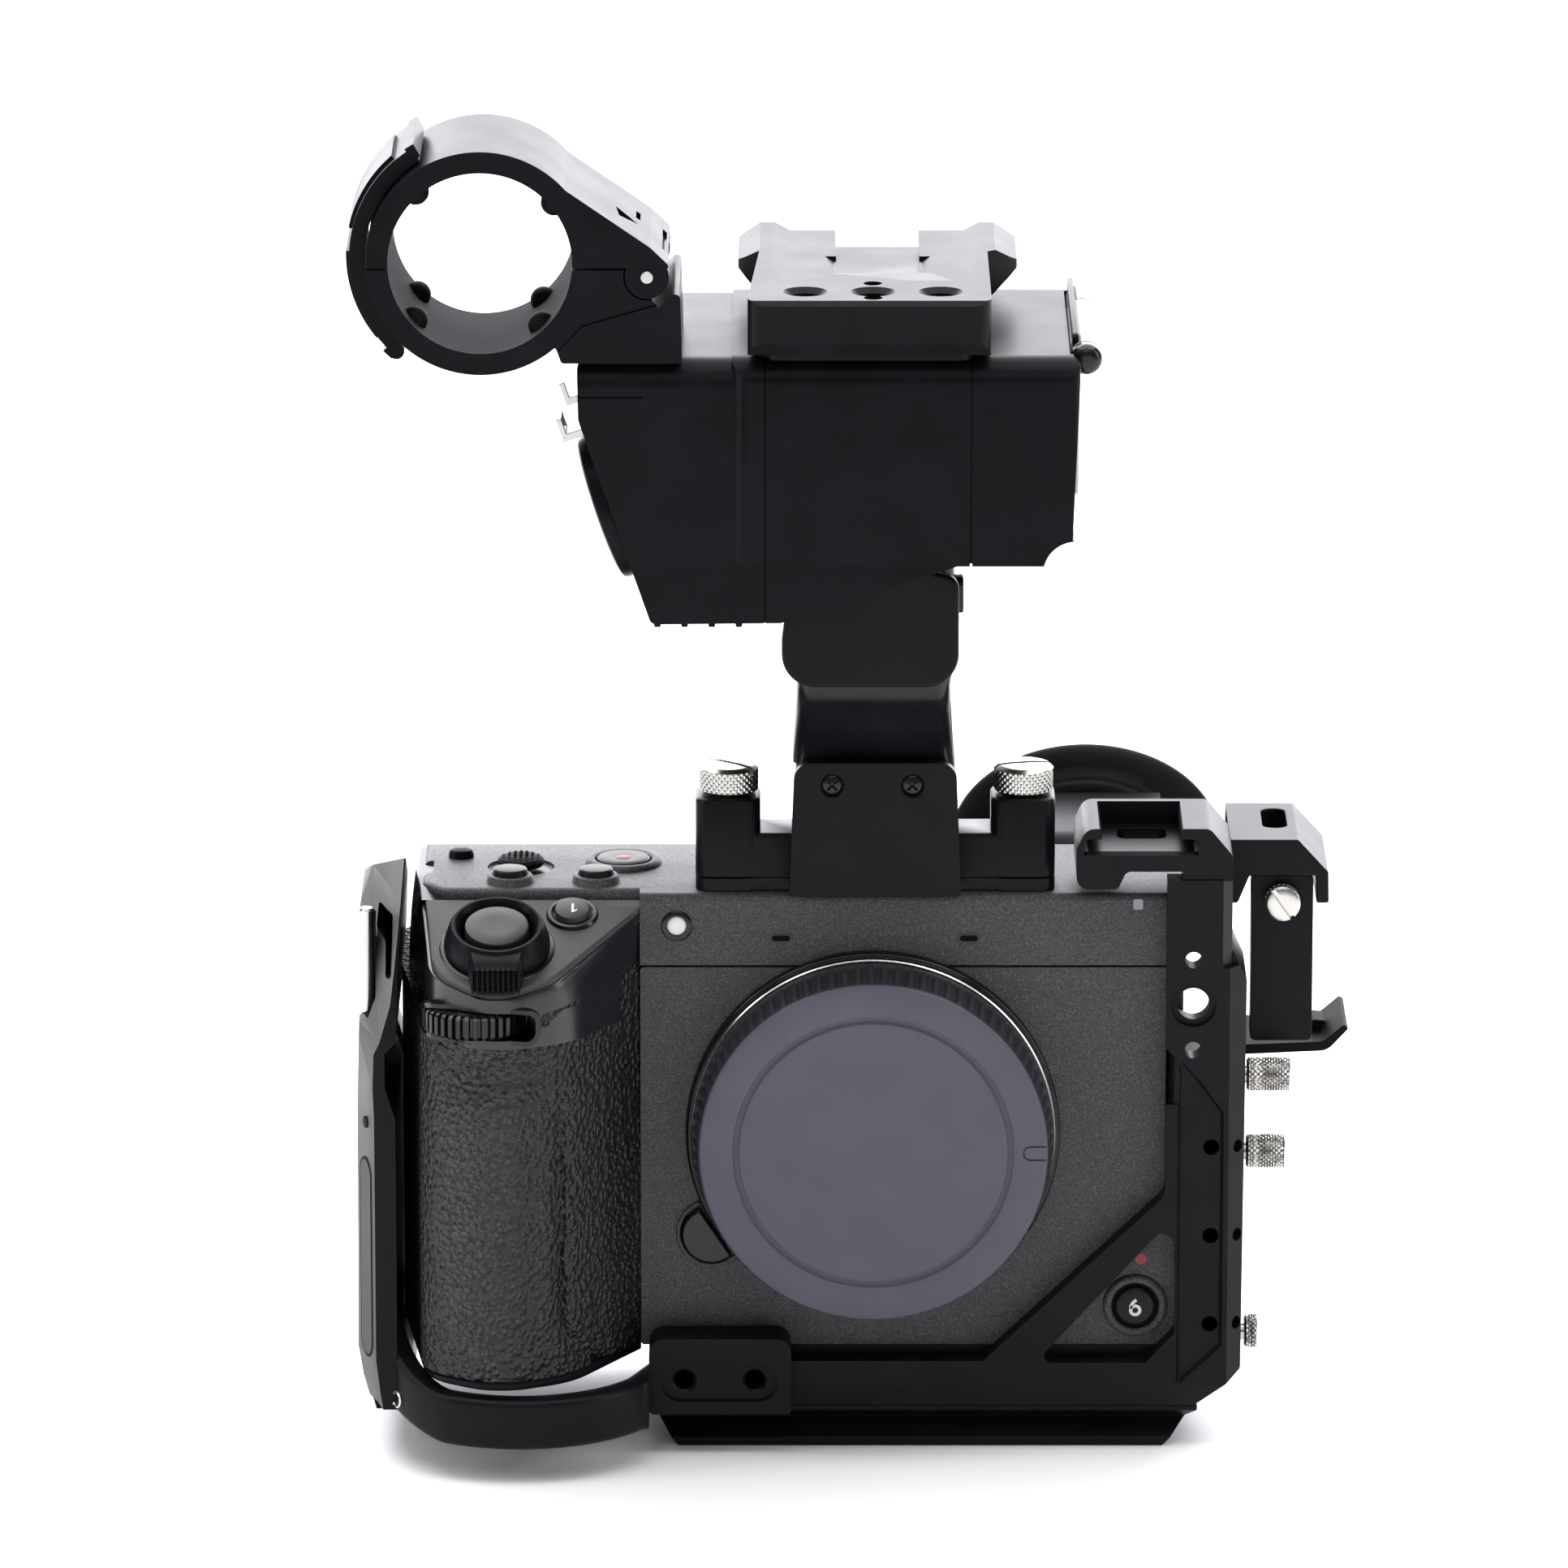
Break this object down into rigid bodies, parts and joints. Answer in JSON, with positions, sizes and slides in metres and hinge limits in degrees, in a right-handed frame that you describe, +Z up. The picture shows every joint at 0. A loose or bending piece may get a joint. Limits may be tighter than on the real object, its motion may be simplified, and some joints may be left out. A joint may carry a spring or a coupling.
{
  "type": "cinema camera rig",
  "caption": "Cinema camera body with side grip in a half cage, with a dovetail base, top handle, audio input module, accessory plate and hinged microphone clamp.",
  "frame": {"origin": "mouth of the quarter inch tripod thread in the underside of the dovetail base, under the lens axis", "axes": "+Z up, -Y the way the lens looks, +X towards the side with the ports (right, seen from the front)"},
  "size_m": [0.1651, 0.142, 0.2254],
  "materials": {
    "cage_metal": "satin black anodised, fine blasted grain",
    "body_paint": "matt dark grey paint with fine sparkle",
    "black_plastic": "satin moulded black",
    "gloss_black": "semi gloss black, very fine texture",
    "leather": "black grained leatherette",
    "rubber": "soft matt black",
    "nickel": "nickel plated, knurled",
    "cap_plastic": "fine matt moulded grey",
    "lamp": "milky lens",
    "clear_plastic": "smoky clear plastic",
    "circuit": "lacquered board"
  },
  "bodies": {
    "rig": {"dovetail_plate": "cage_metal", "cage_base": "cage_metal", "cage_side": "cage_metal", "cage_strut": "cage_metal", "cage_shoe": "cage_metal", "guard_band": "cage_metal", "guard_upright": "cage_metal", "clamp_arm": "cage_metal", "handle_foot": "cage_metal", "foot_cover": "cage_metal", "handle_screws": "cage_metal", "handle_neck": "cage_metal", "top_plate": "cage_metal", "front_cover": "body_paint", "top_cover": "body_paint", "rear_cover": "body_paint", "grip_core": "black_plastic", "battery": "black_plastic", "xlr_housing": "black_plastic", "xlr_side": "black_plastic", "xlr_jacks": "black_plastic", "mic_base": "black_plastic", "grip_bar": "black_plastic", "grip_top": "gloss_black", "grip_skin": "leather", "strap_pin": "nickel", "lens_mount": "nickel", "mic_pin": "nickel", "tally_lamp": "lamp", "sensor_assembly": "circuit"},
    "thumbscrew_left": {"thumbscrew_left": "nickel"},
    "thumbscrew_right": {"thumbscrew_right": "nickel"},
    "knob_upper": {"side_knob_upper": "nickel"},
    "knob_lower": {"side_knob_lower": "nickel"},
    "lock_screw": {"cage_lock_screw": "nickel"},
    "cable_clamp": {"clamp_bar": "cage_metal"},
    "cable_screw": {"clamp_screw": "nickel"},
    "dial": {"front_dial": "black_plastic"},
    "wheel": {"rear_wheel": "black_plastic"},
    "zoom": {"zoom_lever": "black_plastic"},
    "shutter": {"shutter_button": "black_plastic"},
    "custom": {"custom_button": "black_plastic"},
    "iso": {"iso_button": "black_plastic"},
    "wb": {"wb_button": "black_plastic"},
    "rec": {"rec_button": "black_plastic"},
    "stick": {"joystick": "black_plastic"},
    "power": {"power_switch": "black_plastic"},
    "front_rec": {"front_rec_button": "black_plastic"},
    "release": {"lens_release": "black_plastic"},
    "cap": {"body_cap": "cap_plastic"},
    "screen": {"lcd_panel": "black_plastic"},
    "finder": {"evf_body": "black_plastic", "evf_eyecup": "rubber"},
    "ports": {"port_door": "body_paint"},
    "battery_lid": {"battery_door": "black_plastic"},
    "mic_lid": {"mic_upper": "black_plastic"},
    "latch": {"mic_latch": "black_plastic"},
    "audio_lid": {"audio_cover": "clear_plastic"},
    "levels": {"level_dials": "black_plastic"},
    "tabs": {"xlr_tabs": "nickel"}
  },
  "joints": [
    {"name": "thumbscrew_left_turn", "type": "hinge", "parent": "rig", "child": "thumbscrew_left", "pos_m": [-0.0238, -0.017, 0.112], "axis": [0, 0, 1], "continuous": true},
    {"name": "thumbscrew_right_turn", "type": "hinge", "parent": "rig", "child": "thumbscrew_right", "pos_m": [0.0248, -0.017, 0.112], "axis": [0, 0, 1], "continuous": true},
    {"name": "knob_upper_turn", "type": "hinge", "parent": "rig", "child": "knob_upper", "pos_m": [0.064, -0.017, 0.0619], "axis": [1, 0, 0], "continuous": true},
    {"name": "knob_lower_turn", "type": "hinge", "parent": "rig", "child": "knob_lower", "pos_m": [0.064, -0.017, 0.0486], "axis": [1, 0, 0], "continuous": true},
    {"name": "lock_screw_turn", "type": "hinge", "parent": "rig", "child": "lock_screw", "pos_m": [0.064, -0.017, 0.0172], "axis": [1, 0, 0], "continuous": true},
    {"name": "cable_clamp_slide", "type": "slide", "parent": "rig", "child": "cable_clamp", "axis": [0, 0, -1], "range_m": [0, 0.008]},
    {"name": "cable_screw_turn", "type": "hinge", "parent": "cable_clamp", "child": "cable_screw", "pos_m": [0.068, -0.01, 0.09], "axis": [0, 1, 0], "continuous": true},
    {"name": "dial_turn", "type": "hinge", "parent": "rig", "child": "dial", "pos_m": [-0.0653, -0.0385, 0.0782], "axis": [0, 0, 1], "continuous": true},
    {"name": "wheel_turn", "type": "hinge", "parent": "rig", "child": "wheel", "pos_m": [-0.057, 0.024, 0.046], "axis": [0, 1, 0], "continuous": true},
    {"name": "zoom_turn", "type": "hinge", "parent": "rig", "child": "zoom", "pos_m": [-0.0618, -0.0337, 0.08832], "axis": [0, -0.3714, 0.9285], "range_deg": [-20, 20], "stiffness_Nm_per_rad": 0.02},
    {"name": "shutter_press", "type": "slide", "parent": "rig", "child": "shutter", "axis": [0, 0.3714, -0.9285], "range_m": [0, 0.001], "stiffness_N_per_m": 250},
    {"name": "custom_press", "type": "slide", "parent": "rig", "child": "custom", "axis": [0, 0.3714, -0.9285], "range_m": [0, 0.0008], "stiffness_N_per_m": 250},
    {"name": "iso_press", "type": "slide", "parent": "rig", "child": "iso", "axis": [0, 0, -1], "range_m": [0, 0.0008], "stiffness_N_per_m": 250},
    {"name": "wb_press", "type": "slide", "parent": "rig", "child": "wb", "axis": [0, 0, -1], "range_m": [0, 0.0008], "stiffness_N_per_m": 250},
    {"name": "rec_press", "type": "slide", "parent": "rig", "child": "rec", "axis": [0, 0, -1], "range_m": [0, 0.0007], "stiffness_N_per_m": 250},
    {"name": "stick_tilt", "type": "hinge", "parent": "rig", "child": "stick", "pos_m": [-0.0584, -0.0068, 0.0938], "axis": [1, 0, 0], "range_deg": [-6, 6], "stiffness_Nm_per_rad": 0.02},
    {"name": "power_slide", "type": "slide", "parent": "rig", "child": "power", "axis": [0, 1, 0], "range_m": [0, 0.0048]},
    {"name": "front_rec_press", "type": "slide", "parent": "rig", "child": "front_rec", "axis": [0, 1, 0], "range_m": [0, 0.0008], "stiffness_N_per_m": 250},
    {"name": "release_press", "type": "slide", "parent": "rig", "child": "release", "axis": [0, 1, 0], "range_m": [0, 0.0014], "stiffness_N_per_m": 250},
    {"name": "cap_turn", "type": "hinge", "parent": "rig", "child": "cap", "pos_m": [0, -0.03, 0.0542], "axis": [0, 1, 0], "range_deg": [0, 55]},
    {"name": "screen_swing", "type": "hinge", "parent": "rig", "child": "screen", "pos_m": [0.0496, 0.0274, 0.042], "axis": [0, 0, -1], "range_deg": [0, 176]},
    {"name": "finder_tilt", "type": "hinge", "parent": "rig", "child": "finder", "pos_m": [0.0368, 0.021, 0.087], "axis": [1, 0, 0], "range_deg": [0, 90]},
    {"name": "ports_open", "type": "hinge", "parent": "rig", "child": "ports", "pos_m": [0.0528, 0.005, 0.0624], "axis": [0, 1, 0], "range_deg": [0, 75]},
    {"name": "battery_lid_open", "type": "hinge", "parent": "rig", "child": "battery_lid", "pos_m": [-0.0475, -0.009, 0.01575], "axis": [0, -1, 0], "range_deg": [0, 85]},
    {"name": "mic_lid_open", "type": "hinge", "parent": "rig", "child": "mic_lid", "pos_m": [-0.0367, -0.035, 0.2047], "axis": [0, 1, 0], "range_deg": [0, 50]},
    {"name": "latch_swing", "type": "hinge", "parent": "rig", "child": "latch", "pos_m": [-0.0771, -0.035, 0.1916], "axis": [0, 1, 0], "range_deg": [-75, 0]},
    {"name": "audio_lid_open", "type": "hinge", "parent": "rig", "child": "audio_lid", "pos_m": [0.0341, -0.022, 0.1897], "axis": [0, -1, 0], "range_deg": [0, 110]},
    {"name": "levels_turn", "type": "hinge", "parent": "rig", "child": "levels", "pos_m": [0.0268, -0.022, 0.177], "axis": [0, 1, 0], "range_deg": [0, 270]},
    {"name": "tabs_press", "type": "slide", "parent": "rig", "child": "tabs", "axis": [0.9446, 0, 0.3281], "range_m": [0, 0.001], "stiffness_N_per_m": 250}
  ],
  "couplings": [
    {"joint": "latch_swing", "follows": "mic_lid_open", "ratio": -1.5}
  ]
}
